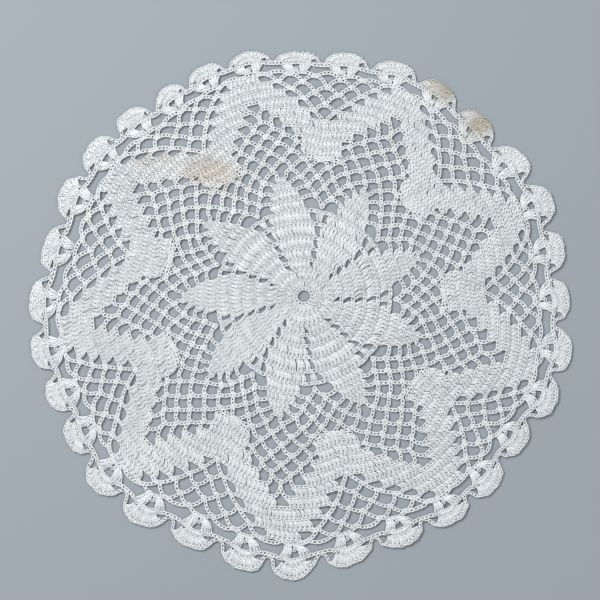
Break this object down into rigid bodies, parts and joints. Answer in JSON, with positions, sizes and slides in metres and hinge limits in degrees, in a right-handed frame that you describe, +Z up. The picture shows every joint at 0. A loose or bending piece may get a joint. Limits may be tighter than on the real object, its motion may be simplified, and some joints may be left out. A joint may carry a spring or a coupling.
{
  "type": "lace doily",
  "caption": "Round white crocheted doily lying flat, with solid petals, an open loop net, a zigzag star and a scalloped shell edging.",
  "frame": {"origin": "middle of the outline's box, on the surface that the doily lies on", "axes": "+Z up out of the doily's right side, +X along its longest extent"},
  "size_m": [0.2994, 0.2912, 0.002],
  "materials": {
    "cotton": "matte"
  },
  "bodies": {
    "root": {"doily": "cotton"}
  },
  "joints": []
}
